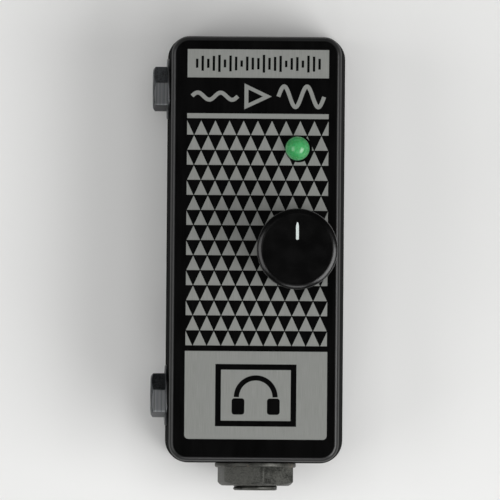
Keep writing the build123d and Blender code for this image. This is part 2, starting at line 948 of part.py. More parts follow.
with BuildPart() as circuit_board:
    with BuildSketch(Plane.XY.offset(board_bottom)):
        with Locations((0, board_low_y)):
            RectangleRounded(
                board_width,
                board_high_y - board_low_y,
                board_corner,
                align=(Align.CENTER, Align.MIN),
            )
        with Locations((knob_x, knob_y)):
            with GridLocations(*pot_pin_pitch, 3, 2):
                Circle(lead_hole_radius, mode=Mode.SUBTRACT)
        with Locations((led_x, led_y)):
            with GridLocations(led_lead_pitch, 1, 2, 1):
                Circle(lead_hole_radius, mode=Mode.SUBTRACT)
    extrude(amount=board_thickness)

circuit_board.part.label = "circuit_board"
export_step(circuit_board.part, "parts/circuit_board.step")

with BuildPart() as amplifier_chip:
    with BuildSketch(Plane.XY.offset(board_top + chip_standoff)):
        with Locations(chip_place):
            Rectangle(*chip_size)
            with Locations((0, chip_size[1] / 2)):
                Circle(chip_notch_radius, mode=Mode.SUBTRACT)
    extrude(amount=chip_thickness)

amplifier_chip.part.label = "amplifier_chip"
export_step(amplifier_chip.part, "parts/amplifier_chip.step")

with BuildPart() as chip_legs:
    with BuildSketch(Plane.XY.offset(board_top)):
        with Locations(chip_place):
            with GridLocations(*chip_leg_pitch, 2, 4):
                Rectangle(*chip_leg_section)
    extrude(amount=chip_leg_height)

chip_legs.part.label = "chip_legs"
export_step(chip_legs.part, "parts/chip_legs.step")

with BuildPart() as electrolytic_capacitors:
    with BuildSketch(Plane.XY.offset(board_top)):
        with Locations(*can_places):
            Circle(can_radius)
    extrude(amount=can_height)
    fillet(electrolytic_capacitors.edges().group_by(Axis.Z)[-1], can_edge)

electrolytic_capacitors.part.label = "electrolytic_capacitors"
export_step(electrolytic_capacitors.part, "parts/electrolytic_capacitors.step")

with BuildPart() as film_capacitors:
    with BuildSketch(Plane.XY.offset(board_top)):
        with Locations(*film_places):
            RectangleRounded(*film_size, film_corner)
    extrude(amount=film_height)

film_capacitors.part.label = "film_capacitors"
export_step(film_capacitors.part, "parts/film_capacitors.step")

resistor_z = board_top + resistor_height
with BuildPart() as resistors:
    for x, y in resistor_places:
        end_plane = Plane(origin=(x - resistor_length / 2, y, resistor_z), z_dir=(1, 0, 0))
        with BuildSketch(end_plane) as end:
            Circle(resistor_radius)
        extrude(end.sketch, amount=resistor_length)

resistors.part.label = "resistors"
export_step(resistors.part, "parts/resistors.step")

with BuildPart() as resistor_leads:
    for x, y in resistor_places:
        for side in (-1, 1):
            with BuildLine() as lead_path:
                FilletPolyline(
                    (x + side * resistor_length / 2, y, resistor_z),
                    (x + side * resistor_pitch / 2, y, resistor_z),
                    (x + side * resistor_pitch / 2, y, board_top),
                    radius=resistor_lead_bend,
                )
            with BuildSketch(
                Plane(origin=lead_path.line @ 0, z_dir=lead_path.line % 0)
            ) as lead_section:
                Circle(resistor_lead_radius)
            sweep(lead_section.sketch, path=lead_path.line)

resistor_leads.part.label = "resistor_leads"
export_step(resistor_leads.part, "parts/resistor_leads.step")

# ---- Wires ------------------------------------------------------------------------------------

snap_face_y = battery_end_y - snap_front
lead_bend_y = snap_face_y - battery_lead_reach
for colour, lead_x in battery_lead_x.items():
    with BuildPart() as battery_lead:
        add_wire(
            [
                (lead_x, snap_face_y, battery_lead_z),
                (lead_x, lead_bend_y, battery_lead_z),
                (lead_x, lead_bend_y, board_bottom),
            ]
        )

    battery_lead.part.label = f"battery_lead_{colour}"
    export_step(battery_lead.part, f"parts/{battery_lead.part.label}.step")

# Each headphone jack's three pins are wired to the board: the upper jack lies under it, and the
# lower jack's wires climb past its edge and come down on it one behind the other
for place, plane in headphone_plane.items():
    with BuildPart() as jack_wires:
        for step, sideways in enumerate((-pin_pitch, 0, pin_pitch)):
            pin_end = on_plane(plane, sideways, pin_row, housing_back - pin_length)
            turn_x = pin_end.X + jack_wire_reach
            route = [tuple(pin_end), (turn_x, pin_end.Y, pin_end.Z)]
            if place == "upper":
                route += [(turn_x, pin_end.Y, board_bottom)]
            else:
                crest = board_top + jack_wire_crest + jack_wire_layer * step
                landing = board_low_y + jack_wire_landing * (1 + step)
                route += [
                    (turn_x, pin_end.Y, crest),
                    (turn_x, landing, crest),
                    (turn_x, landing, board_top),
                ]
            add_wire(route, bend=jack_wire_bend)

    jack_wires.part.label = f"headphone_jack_{place}_wires"
    export_step(jack_wires.part, f"parts/{jack_wires.part.label}.step")

lug_tip = lug_offset + lug_size[0] / 2
landing = board_low_y + input_wire_landing
with BuildPart() as input_jack_wires:
    for level, side, reach in zip(lug_levels, (1, -1), input_wire_reach):
        height = level + spring_thickness / 2
        lug_end = on_plane(input_plane, side * lug_tip, height, stack_middle)
        add_wire(
            [
                tuple(lug_end),
                (side * reach, lug_end.Y, lug_end.Z),
                (side * reach, lug_end.Y, input_wire_z),
                (side * reach, landing, input_wire_z),
                (side * reach, landing, board_top),
            ]
        )

input_jack_wires.part.label = "input_jack_wires"
export_step(input_jack_wires.part, "parts/input_jack_wires.step")
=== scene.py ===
import json
import math

import bmesh
import bpy
from mathutils import Matrix, Vector


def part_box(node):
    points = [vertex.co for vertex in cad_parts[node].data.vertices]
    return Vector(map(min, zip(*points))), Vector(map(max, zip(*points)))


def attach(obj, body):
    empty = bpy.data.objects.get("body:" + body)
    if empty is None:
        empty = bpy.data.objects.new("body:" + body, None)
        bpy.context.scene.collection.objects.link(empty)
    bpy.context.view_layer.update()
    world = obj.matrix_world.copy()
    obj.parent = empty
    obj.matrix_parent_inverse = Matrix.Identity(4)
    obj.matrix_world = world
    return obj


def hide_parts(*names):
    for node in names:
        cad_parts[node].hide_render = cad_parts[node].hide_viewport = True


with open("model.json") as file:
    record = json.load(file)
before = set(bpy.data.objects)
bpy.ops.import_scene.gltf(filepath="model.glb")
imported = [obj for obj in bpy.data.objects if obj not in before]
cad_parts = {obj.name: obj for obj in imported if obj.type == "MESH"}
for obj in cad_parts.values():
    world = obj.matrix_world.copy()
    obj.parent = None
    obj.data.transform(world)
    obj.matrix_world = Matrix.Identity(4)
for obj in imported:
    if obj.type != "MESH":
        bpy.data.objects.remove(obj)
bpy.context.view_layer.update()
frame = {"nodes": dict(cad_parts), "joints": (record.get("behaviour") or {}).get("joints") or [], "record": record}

# The looks of a small headphone amplifier in a black die-cast box. Metres throughout; MM turns
# millimetres into metres. Places come from the CAD frame: node boxes, mounts and joints.
MM = 0.001

# Sizes that no node's box gives, in millimetres unless the name ends in SHARE
RESISTOR_LENGTH = 6.3
LED_BARREL = 2.5
LED_FLANGE_HEIGHT = 1.0
LED_FLANGE_ROUND = 0.1
LED_CLEARING = 2.85
LED_CLEARING_SHIFT = (0.25, -0.1, 0)
POT_WASHER = 5.35

# Nuts and washers; a SHARE is of the CAD solid's size
NUT_GAP = 0.02
NUT_FACE_SHARE = 0.955
NUT_CORNER_SHARE = 0.992
NUT_SINK = 0.35
WASHER_ROLL_SHARE = 0.3

# Jack bushes: WALL_OUTSIDE and INPUT_COLLAR_END are distances along the jack's axis, a THREAD is its
# depth and pitch. The input thread starts so far below the nut's top and stops so far below the
# bush's end; the headphone thread starts and stops so far below the bush's end.
WALL_OUTSIDE = -1.8
INPUT_COLLAR = 4.6
INPUT_COLLAR_END = -3.2
INPUT_THREAD = (0.34, 0.75)
INPUT_THREAD_ENDS = (0.6, 0.22)
INPUT_END_CHAMFER = 0.38
INPUT_MOUTH_ROUND = 0.3
HEADPHONE_THREAD = (0.16, 0.5)
HEADPHONE_THREAD_ENDS = (0.9, 0.25)
HEADPHONE_END_CHAMFER = 0.3
HEADPHONE_MOUTH_ROUND = 0.25

# Knob: radii of its rounded foot, nose and rim, and the rim's slope in degrees outside and inside
KNOB_FOOT = 0.3
KNOB_NOSE = 0.45
KNOB_SWEEP = 2.1
KNOB_STEEP = 38
KNOB_SHALLOW = 10
KNOB_SINK = 0.1
KNOB_RECESS = 6.4
GRUB_GAP = 0.05

# Knob mark: how far it stands over the disc, then shares of its length and width
POINTER_RISE = 0.01
POINTER_BLUNT_SHARE = 0.06
POINTER_BLUNT_CUT = 0.6
POINTER_TAPER_START = 0.7
POINTER_TAPER_LENGTH = 0.3
POINTER_TAPER_CUT = 0.75

# Foam pad, and where the battery's copper band ends, from its terminal end
FOAM_CROWN = 0.05
FOAM_SOFT_EDGE = 0.35
FOAM_DIMPLE = 0.02
BATTERY_BAND = (12.3, 12.5)

# Height where the painted highlight on the coat's top edge starts, its grey there, and the coat's gloss by place
EDGE_START = 29.6
EDGE_HIGHLIGHT_GREY = 0.022
WALL_GLOSS = 0.06
EDGE_GLOSS = 0.8
FACE_GLOSS = 0.12

# Camera: height in metres, lens in millimetres, aim and lean in millimetres, roll in degrees
CAMERA_HEIGHT = 1.2
CAMERA_LENS = 397
CAMERA_SENSOR = 36
CAMERA_AIM = (-1.11, -0.05, 0)
CAMERA_LEAN = -6.5
CAMERA_ROLL = 0.46

# Light: name, bearing and elevation in degrees, distance, width and height in metres, watts, and
# whether it is mirrored in glossy surfaces
SOFTBOXES = (
    ("softbox_left", 188, 44, 1.1, (0.8, 0.6), 3.3, True),
    ("softbox_right", -26, 44, 1.1, (0.9, 0.6), 8.6, True),
    ("softbox_front", -92, 40, 1.2, (0.5, 0.3), 1.6, True),
    ("fill_above", 90, 86, 1.4, (1.0, 1.0), 7.4, False),
)
WORLD_STRENGTH = 0.035
FLOOR_HALF = 1.5

mounts = {m["name"]: m for m in frame["record"]["mounts"]}
joints = {j["name"]: j for j in frame["joints"]}


# ---- Places taken from the frame ------------------------------------------------------------------


class Turned:
    """An axis with a direction across it, and how far a CAD node reaches along and around it."""

    def __init__(self, origin, axis):
        self.origin = Vector(origin)
        self.axis = Vector(axis).normalized()
        side = Vector((0, 0, 1)) if abs(self.axis.z) < 0.9 else Vector((0, 1, 0))
        self.up = (side - side.dot(self.axis) * self.axis).normalized()
        self.right = self.up.cross(self.axis)

    def point(self, radius, angle, along):
        """Point at a radius, an angle from right towards up, and a distance along the axis."""
        across = math.cos(angle) * self.right + math.sin(angle) * self.up
        return self.origin + radius * across + along * self.axis

    def coordinates(self, node):
        """(distance along, radius, angle) of each of a CAD node's corners."""
        found = []
        for vertex in frame["nodes"][node].data.vertices:
            offset = vertex.co - self.origin
            along = offset.dot(self.axis)
            u, v = offset.dot(self.right), offset.dot(self.up)
            found.append((along, math.hypot(u, v), math.atan2(v, u)))
        return found

    def span(self, node):
        """Lowest and highest distance of a CAD node along the axis."""
        alongs = [c[0] for c in self.coordinates(node)]
        return min(alongs), max(alongs)

    def radii(self, node):
        """Smallest and largest radius of a CAD node about the axis."""
        radii = [c[1] for c in self.coordinates(node)]
        return min(radii), max(radii)

    def corner_angle(self, node):
        """Angle at which a CAD node reaches furthest from the axis."""
        return max(self.coordinates(node), key=lambda c: c[1])[2]


input_axis = Turned(mounts["input_jack"]["pos_m"], mounts["input_jack"]["axis"])
headphone_axes = {
    place: Turned(
        mounts[f"headphone_jack_{place}"]["pos_m"], mounts[f"headphone_jack_{place}"]["axis"]
    )
    for place in ("upper", "lower")
}
knob_axis = Turned(joints["volume_turn"]["pos_m"], joints["volume_turn"]["axis"])

face_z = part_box("enclosure")[1].z
led_low, led_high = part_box("led_lens")
led_axis = Turned(((led_low.x + led_high.x) / 2, (led_low.y + led_high.y) / 2, face_z), (0, 0, 1))


# ---- Material nodes -------------------------------------------------------------------------------


class Look:
    """A procedural material: a Principled shader and the textures that feed it."""

    def __init__(self, name, **inputs):
        self.material = bpy.data.materials.new(name)
        self.material.use_nodes = True
        self.tree = self.material.node_tree
        self.shader = self.tree.nodes["Principled BSDF"]
        for key, value in inputs.items():
            self.shader.inputs[key.replace("_", " ")].default_value = value

    def node(self, kind, links=(), **settings):
        """A node with its settings, and its numbered or named inputs linked or set."""
        made = self.tree.nodes.new(kind)
        for key, value in settings.items():
            setattr(made, key, value)
        for key, value in dict(links).items():
            self.feed(made.inputs[key], value)
        return made

    def feed(self, socket, value):
        if isinstance(value, bpy.types.NodeSocket):
            self.tree.links.new(value, socket)
        else:
            socket.default_value = value

    def place(self, scale=(1, 1, 1), shift=(0, 0, 0)):
        """Position on the object in millimetres, less a shift in millimetres, times a scale."""
        coordinates = self.node("ShaderNodeTexCoord").outputs["Object"]
        location = [-s * k for s, k in zip(shift, scale)]
        stretch = [k / MM for k in scale]
        mapping = self.node(
            "ShaderNodeMapping", {"Vector": coordinates, "Location": location, "Scale": stretch}
        )
        return mapping.outputs[0]

    def axes(self, vector):
        return self.node("ShaderNodeSeparateXYZ", {0: vector}).outputs

    def normal_z(self):
        normal = self.node("ShaderNodeTexCoord").outputs["Normal"]
        return self.axes(normal)["Z"]

    def noise(self, vector, scale=1.0, detail=3.0, roughness=0.5):
        links = {"Vector": vector, "Scale": scale, "Detail": detail, "Roughness": roughness}
        return self.node("ShaderNodeTexNoise", links).outputs[0]

    def cells(self, vector, scale=1.0):
        return self.node("ShaderNodeTexVoronoi", {"Vector": vector, "Scale": scale}).outputs[0]

    def maths(self, operation, a, b=0.0):
        return self.node("ShaderNodeMath", {0: a, 1: b}, operation=operation).outputs[0]

    def spread(self, value, low, high, to_low=0.0, to_high=1.0):
        """value's range low to high, mapped smoothly and clamped."""
        links = {0: value, 1: low, 2: high, 3: to_low, 4: to_high}
        kind = "ShaderNodeMapRange"
        return self.node(kind, links, interpolation_type="SMOOTHSTEP").outputs[0]

    def colours(self, value, *stops):
        """Colour ramp of (position, colour) stops."""
        made = self.node("ShaderNodeValToRGB", {0: value})
        ramp = made.color_ramp
        while len(ramp.elements) < len(stops):
            ramp.elements.new(0.5)
        for element, (position, colour) in zip(ramp.elements, stops):
            element.position = position
            element.color = (*colour, 1)
        return made.outputs[0]

    def mix(self, factor, a, b):
        """Colour a where factor is 0 and b where it is 1."""
        made = self.node("ShaderNodeMix", data_type="RGBA")
        for index, value in ((0, factor), (6, a), (7, b)):
            self.feed(made.inputs[index], value)
        return made.outputs[2]

    def relief(self, height, depth, below=None):
        """Bump of a height from 0 to 1, depth metres deep."""
        links = {"Height": height, "Distance": depth}
        if below is not None:
            links["Normal"] = below
        return self.node("ShaderNodeBump", links).outputs[0]

    def shade(self, **sockets):
        for key, value in sockets.items():
            self.feed(self.shader.inputs[key.replace("_", " ")], value)
        return self.material


def grey(level):
    return (level, level, level)


def grained(name, dark, light, rough, grain=(3, 3, 3), depth=0.0, detail=4.0, **inputs):
    """Colour, roughness and relief that vary with one noise; grain is its cells per millimetre."""
    look = Look(name, **inputs)
    noise = look.noise(look.place(grain), detail=detail)
    colour = look.colours(noise, (0.3, dark), (0.7, light))
    roughness = look.spread(noise, 0.3, 0.7, *rough)
    if depth:
        look.shade(Normal=look.relief(noise, depth))
    return look.shade(Base_Color=colour, Roughness=roughness)


def turned_metal(name, axis, dark, light, rough, glint=None, facet_highlight=None):
    """Machined metal with tool rings about an axis, tarnish and a fine speckle.
    Two optional colours are painted highlights: glint, put in spots, and the last one, put in streaks on faces
    that look up."""
    look = Look(name, Metallic=1.0)
    frame_axes = Matrix((axis.right, axis.up, axis.axis))
    coordinates = look.node("ShaderNodeTexCoord").outputs["Object"]
    offset = look.node("ShaderNodeVectorMath", {0: coordinates, 1: axis.origin})
    offset.operation = "SUBTRACT"
    sides = []
    for direction in frame_axes:
        dot = look.node("ShaderNodeVectorMath", {0: offset.outputs[0], 1: direction})
        dot.operation = "DOT_PRODUCT"
        sides.append(look.maths("MULTIPLY", dot.outputs[1], 1 / MM))
    squares = [look.maths("POWER", side, 2.0) for side in sides[:2]]
    radius = look.maths("POWER", look.maths("ADD", *squares), 0.5)
    ring_place = look.node("ShaderNodeCombineXYZ", {0: radius, 1: sides[2], 2: 0.0}).outputs[0]
    tool = look.noise(ring_place, 9.0, 2.0)
    tarnish = look.noise(look.place((0.5, 0.5, 0.5), (-7, 0, 0)), detail=5.0)
    speckle = look.noise(look.place((2.6, 2.6, 2.6)), detail=4.0, roughness=0.7)
    worked = look.maths("ADD", look.maths("MULTIPLY", tool, 0.25), look.maths("MULTIPLY", tarnish, 0.35))
    blend = look.maths("ADD", worked, look.maths("MULTIPLY", speckle, 0.4))
    colour = look.colours(blend, (0.42, dark), (0.58, light))
    # Painted highlight: a glint colour in spots where the tarnish noise is high.
    if glint:
        colour = look.mix(look.spread(tarnish, 0.58, 0.72), colour, (*glint, 1))
    # Painted highlight: a pale colour in streaks along the axis, on faces that look up.
    if facet_highlight:
        along = look.node("ShaderNodeCombineXYZ", {0: sides[2], 1: 0.0, 2: 0.0}).outputs[0]
        streaks = look.spread(look.noise(along, 2.6, 2.0), 0.35, 0.6, 0.45, 1.0)
        upward = look.spread(look.normal_z(), 0.80, 0.95)
        colour = look.mix(look.maths("MULTIPLY", streaks, upward), colour, (*facet_highlight, 1))
    uneven = look.maths("ADD", tarnish, look.maths("MULTIPLY", speckle, 0.3))
    roughness = look.spread(uneven, 0.4, 0.9, *rough)
    height = look.maths("ADD", tool, look.maths("MULTIPLY", speckle, 0.2))
    return look.shade(Base_Color=colour, Roughness=roughness, Normal=look.relief(height, 0.004 * MM))


def black_coat():
    """Satin black on the casting: a faintly brushed face, grained matt walls, and a painted highlight, broken up
    by noise, on the rounded top edges.
    """
    look = Look("black_coat", Specular_IOR_Level=0.0, Coat_Roughness=0.28)
    z = look.axes(look.place())["Z"]
    upward = look.normal_z()
    face = look.spread(upward, 0.985, 0.999)
    brushing = look.noise(look.place((16, 0.12, 1)), detail=5.0, roughness=0.6)
    grain = look.noise(look.place((5, 5, 5)), detail=3.0)
    mottle = look.noise(look.place((0.35, 0.08, 0.35)), detail=3.0)
    strokes = look.maths("ADD", brushing, look.maths("MULTIPLY", mottle, 0.5))
    brushed = look.colours(strokes, (0.52, grey(0.0006)), (0.95, grey(0.0034)))
    coat = look.colours(grain, (0.3, grey(0.0014)), (0.7, grey(0.0036)))
    colour = look.mix(face, coat, brushed)
    # Painted highlight: the rounded top edge is lifted to a pale grey all round, broken up by noise.
    rolled = look.maths("MULTIPLY", look.spread(upward, 0.20, 0.62), look.spread(upward, 0.996, 0.95))
    edge = look.maths("MULTIPLY", rolled, look.spread(z, EDGE_START, EDGE_START + 0.5))
    edge_breakup = look.noise(look.place((2.2, 2.2, 2.2)), detail=5.0)
    painted_edge_highlight = look.maths("MULTIPLY", edge, look.spread(edge_breakup, 0.25, 0.6, 0.7, 1.0))
    colour = look.mix(painted_edge_highlight, colour, (*grey(EDGE_HIGHLIGHT_GREY), 1))
    gloss = look.spread(upward, 0.05, 0.35, WALL_GLOSS, EDGE_GLOSS)
    gloss = look.node("ShaderNodeMix", {0: face, 2: gloss, 3: FACE_GLOSS}).outputs[0]
    rough = look.spread(strokes, 0.5, 1.0, 0.38, 0.5)
    height = look.node("ShaderNodeMix", {0: face, 2: grain, 3: brushing}).outputs[0]
    relief = look.relief(height, 0.006 * MM)
    return look.shade(
        Base_Color=colour, Roughness=rough, Coat_Weight=gloss, Normal=relief, Coat_Normal=relief
    )


def silver_print():
    """Satin silver ink with a fine sparkle grain, brushed the same way as the face."""
    look = Look("silver_print")
    grain = look.noise(look.place((7, 7, 7)), detail=4.0, roughness=0.7)
    brushing = look.noise(look.place((12, 0.25, 1)), detail=4.0)
    blotch = look.noise(look.place((0.25, 0.1, 1)), detail=3.0)
    blend = look.maths("ADD", look.maths("MULTIPLY", grain, 0.5), look.maths("MULTIPLY", brushing, 0.5))
    colour = look.colours(blend, (0.36, (0.205, 0.211, 0.198)), (0.64, (0.285, 0.292, 0.275)))
    colour = look.mix(look.spread(blotch, 0.4, 0.7, 0.0, 0.35), colour, (0.245, 0.25, 0.24, 1))
    metal = look.spread(grain, 0.35, 0.65, 0.15, 0.45)
    return look.shade(
        Base_Color=colour,
        Metallic=metal,
        Roughness=look.spread(grain, 0.3, 0.7, 0.42, 0.6),
        Normal=look.relief(grain, 0.004 * MM),
    )


def knob_gloss():
    """Gloss black moulding with faint handling marks."""
    look = Look("knob_gloss", Specular_IOR_Level=0.5)
    smear = look.noise(look.place((0.35, 0.35, 0.35), (8.8, 0, 0)), detail=5.0)
    scratch = look.noise(look.place((0.6, 14, 1)), detail=2.0)
    colour = look.colours(smear, (0.3, grey(0.0008)), (0.75, grey(0.0016)))
    marks = look.maths("ADD", smear, look.maths("MULTIPLY", scratch, 0.35))
    return look.shade(
        Base_Color=colour,
        Roughness=look.spread(marks, 0.45, 0.95, 0.19, 0.27),
        Normal=look.relief(scratch, 0.0008 * MM),
    )


def pointer_paint():
    return grained(
        "pointer_paint", (0.52, 0.59, 0.57), (0.67, 0.72, 0.70), (0.35, 0.5), (5, 5, 5), 0.004 * MM
    )


def led_epoxy():
    """Diffused green epoxy, lit a little from inside, with a painted sheen that makes it paler round its foot."""
    look = Look(
        "led_epoxy",
        Subsurface_Weight=0.35,
        Subsurface_Scale=0.9 * MM,
        IOR=1.5,
        Coat_Weight=0.5,
        Coat_Roughness=0.16,
        Emission_Strength=0.26,
    )
    place = look.place()
    z = look.axes(place)["Z"]
    # Painted sheen: the lens colour is paler low down, towards its foot.
    foot = look.spread(z, face_z / MM + 2.0, face_z / MM + 0.2)
    haze = look.noise(look.place((0.8, 0.8, 0.8)), detail=4.0)
    body = look.colours(haze, (0.35, (0.038, 0.25, 0.075)), (0.7, (0.065, 0.35, 0.120)))
    colour = look.mix(look.maths("MULTIPLY", foot, 0.6), body, (0.22, 0.60, 0.30, 1))
    return look.shade(
        Base_Color=colour,
        Emission_Color=colour,
        Roughness=look.spread(haze, 0.3, 0.7, 0.22, 0.32),
        Normal=look.relief(haze, 0.004 * MM),
    )


def board_resist():
    """Green solder resist over copper tracks."""
    look = Look("board_resist", Coat_Weight=0.4, Coat_Roughness=0.15)
    tracks = look.node(
        "ShaderNodeTexBrick",
        {"Vector": look.place((0.5, 0.5, 0.5)), "Scale": 1.0, "Mortar Size": 0.09, "Bias": 0.1},
    ).outputs["Fac"]
    weave = look.noise(look.place((3, 3, 3)), detail=3.0)
    bare = look.colours(weave, (0.3, (0.006, 0.055, 0.022)), (0.7, (0.010, 0.080, 0.032)))
    colour = look.mix(tracks, bare, (0.025, 0.16, 0.06, 1))
    return look.shade(
        Base_Color=colour,
        Roughness=look.spread(weave, 0.3, 0.7, 0.25, 0.4),
        Normal=look.relief(tracks, 0.03 * MM),
    )


def battery_jacket():
    """Dark printed jacket with a copper-coloured band at the terminal end."""
    look = Look("battery_jacket", Metallic=0.7)
    y = look.axes(look.place())["Y"]
    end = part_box("battery")[0].y / MM
    band = look.spread(y, end + BATTERY_BAND[1], end + BATTERY_BAND[0])
    scuff = look.noise(look.place((1.2, 1.2, 1.2)), detail=5.0)
    dark = look.colours(scuff, (0.3, grey(0.010)), (0.7, grey(0.022)))
    copper = look.colours(scuff, (0.3, (0.45, 0.20, 0.08)), (0.7, (0.60, 0.28, 0.12)))
    return look.shade(
        Base_Color=look.mix(band, dark, copper),
        Roughness=look.spread(scuff, 0.3, 0.7, 0.25, 0.45),
        Normal=look.relief(scuff, 0.01 * MM),
    )


def resistor_paint():
    """Pale blue lacquer with four coloured bands across each body."""
    look = Look("resistor_paint", Coat_Weight=0.3, Coat_Roughness=0.2)
    low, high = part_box("resistors")
    x = look.axes(look.place())["X"]
    row_middle = (high.x - low.x) / 2 / MM - RESISTOR_LENGTH / 2
    aside = look.maths("ABSOLUTE", look.maths("SUBTRACT", x, (high.x + low.x) / 2 / MM))
    along = look.maths("SUBTRACT", aside, row_middle)
    share = look.maths("ADD", look.maths("DIVIDE", along, RESISTOR_LENGTH), 0.5)
    cloud = look.noise(look.place((1.5, 1.5, 1.5)), detail=3.0)
    body = look.colours(cloud, (0.3, (0.16, 0.36, 0.50)), (0.7, (0.20, 0.43, 0.58)))
    colour = body
    brown, black, red, gold = (0.16, 0.05, 0.015), grey(0.008), (0.45, 0.03, 0.02), (0.35, 0.20, 0.05)
    bands = ((0.16, brown), (0.32, black), (0.48, red), (0.84, gold))
    for middle, band in bands:
        away = look.maths("ABSOLUTE", look.maths("SUBTRACT", share, middle))
        colour = look.mix(look.spread(away, 0.055, 0.045), colour, (*band, 1))
    return look.shade(
        Base_Color=colour,
        Roughness=look.spread(cloud, 0.3, 0.7, 0.3, 0.45),
        Normal=look.relief(cloud, 0.01 * MM),
    )


def capacitor_sleeve():
    """Dark blue sleeve with a pale stripe down one side, and a bare aluminium top."""
    look = Look("capacitor_sleeve")
    normal = look.node("ShaderNodeTexCoord").outputs["Normal"]
    top = look.spread(look.axes(normal)["Z"], 0.9, 0.97)
    stripe = look.spread(look.axes(normal)["X"], -0.88, -0.92)
    cloud = look.noise(look.place((2, 2, 2)), detail=3.0)
    sleeve = look.colours(cloud, (0.3, (0.008, 0.012, 0.045)), (0.7, (0.014, 0.020, 0.065)))
    sleeve = look.mix(stripe, sleeve, (0.45, 0.47, 0.50, 1))
    return look.shade(
        Base_Color=look.mix(top, sleeve, (0.62, 0.62, 0.60, 1)),
        Metallic=top,
        Roughness=look.spread(cloud, 0.3, 0.7, 0.25, 0.4),
        Normal=look.relief(cloud, 0.01 * MM),
    )


def foam_cells():
    """Open-cell foam: pale walls, with painted shade in the dark pits between them."""
    look = Look("foam_cells", Specular_IOR_Level=0.1, Sheen_Weight=0.3, Sheen_Roughness=0.6)
    cells = look.cells(look.place((1, 1, 1)), 4.0)
    cloud = look.noise(look.place((0.3, 0.3, 0.3)), detail=3.0)
    # Painted shade: the pits between the cell walls are coloured darker.
    colour = look.mix(
        look.spread(cells, 0.1, 0.6),
        look.colours(cloud, (0.3, grey(0.018)), (0.7, grey(0.030))),
        (*grey(0.07), 1),
    )
    return look.shade(
        Base_Color=colour,
        Roughness=look.spread(cells, 0.1, 0.6, 0.95, 0.85),
        Normal=look.relief(cells, 0.12 * MM),
    )


def metal_looks():
    """The simpler metals, by the record's material slot."""
    return {
        "zinc_screw": grained(
            "zinc_plate",
            (0.50, 0.50, 0.47),
            (0.66, 0.66, 0.62),
            rough=(0.28, 0.42),
            grain=(2, 2, 2),
            depth=0.004 * MM,
            Metallic=1.0,
        ),
        "zinc_casting": grained(
            "zinc_casting",
            (0.42, 0.43, 0.43),
            (0.58, 0.58, 0.57),
            rough=(0.38, 0.55),
            grain=(3, 3, 3),
            depth=0.01 * MM,
            Metallic=1.0,
        ),
        "tinned": grained(
            "tinned",
            (0.62, 0.62, 0.60),
            (0.78, 0.78, 0.76),
            rough=(0.2, 0.4),
            grain=(2, 2, 2),
            depth=0.008 * MM,
            Metallic=1.0,
        ),
        "contact_bronze": grained(
            "contact_bronze",
            (0.62, 0.42, 0.20),
            (0.76, 0.54, 0.28),
            rough=(0.22, 0.36),
            grain=(1, 8, 1),
            depth=0.003 * MM,
            Metallic=1.0,
        ),
        "steel_shaft": grained(
            "steel_shaft",
            (0.45, 0.45, 0.44),
            (0.60, 0.60, 0.59),
            rough=(0.25, 0.4),
            grain=(1, 1, 9),
            depth=0.003 * MM,
            Metallic=1.0,
        ),
        "nickel": grained(
            "nickel",
            (0.52, 0.51, 0.48),
            (0.66, 0.65, 0.61),
            rough=(0.22, 0.36),
            grain=(3, 3, 3),
            depth=0.004 * MM,
            Metallic=1.0,
        ),
        "brass": grained(
            "brass",
            (0.60, 0.44, 0.17),
            (0.74, 0.56, 0.25),
            rough=(0.2, 0.34),
            grain=(1, 1, 8),
            depth=0.004 * MM,
            Metallic=1.0,
        ),
        "black_steel": grained(
            "black_steel",
            grey(0.025),
            grey(0.05),
            rough=(0.3, 0.45),
            grain=(4, 4, 4),
            depth=0.004 * MM,
            Metallic=1.0,
        ),
    }


def plain_looks():
    """The simpler paints and plastics, by the record's material slot."""
    return {
        "black_base": grained(
            "base_coat",
            grey(0.006),
            grey(0.011),
            rough=(0.46, 0.62),
            grain=(4, 4, 4),
            depth=0.012 * MM,
        ),
        "phenolic": grained(
            "phenolic",
            (0.10, 0.045, 0.016),
            (0.16, 0.075, 0.028),
            rough=(0.4, 0.55),
            grain=(0.5, 6, 6),
            depth=0.01 * MM,
        ),
        "carbon_track": grained(
            "carbon_track",
            grey(0.006),
            grey(0.016),
            rough=(0.5, 0.7),
            grain=(4, 4, 4),
            depth=0.004 * MM,
        ),
        "snap_vinyl": grained(
            "snap_vinyl",
            grey(0.010),
            grey(0.020),
            rough=(0.4, 0.55),
            grain=(2, 2, 2),
            depth=0.012 * MM,
        ),
        "presspahn": grained(
            "presspahn",
            (0.30, 0.19, 0.085),
            (0.38, 0.25, 0.12),
            rough=(0.6, 0.75),
            grain=(0.8, 5, 5),
            depth=0.01 * MM,
        ),
        "film_red": grained(
            "film_red",
            (0.26, 0.030, 0.018),
            (0.34, 0.045, 0.026),
            rough=(0.28, 0.4),
            grain=(2, 2, 2),
            depth=0.008 * MM,
        ),
        "wire_red": grained(
            "wire_red",
            (0.42, 0.018, 0.012),
            (0.52, 0.028, 0.018),
            rough=(0.3, 0.42),
            grain=(1, 1, 1),
            depth=0.006 * MM,
        ),
        "wire_black": grained(
            "wire_black",
            grey(0.010),
            grey(0.018),
            rough=(0.3, 0.42),
            grain=(1, 1, 1),
            depth=0.006 * MM,
        ),
        "wire_yellow": grained(
            "wire_yellow",
            (0.62, 0.42, 0.03),
            (0.72, 0.50, 0.05),
            rough=(0.3, 0.42),
            grain=(1, 1, 1),
            depth=0.006 * MM,
        ),
        "jack_moulding": grained(
            "jack_moulding",
            grey(0.012),
            grey(0.024),
            rough=(0.35, 0.5),
            grain=(3, 3, 3),
            depth=0.01 * MM,
        ),
    }


# ---- Mesh making ----------------------------------------------------------------------------------


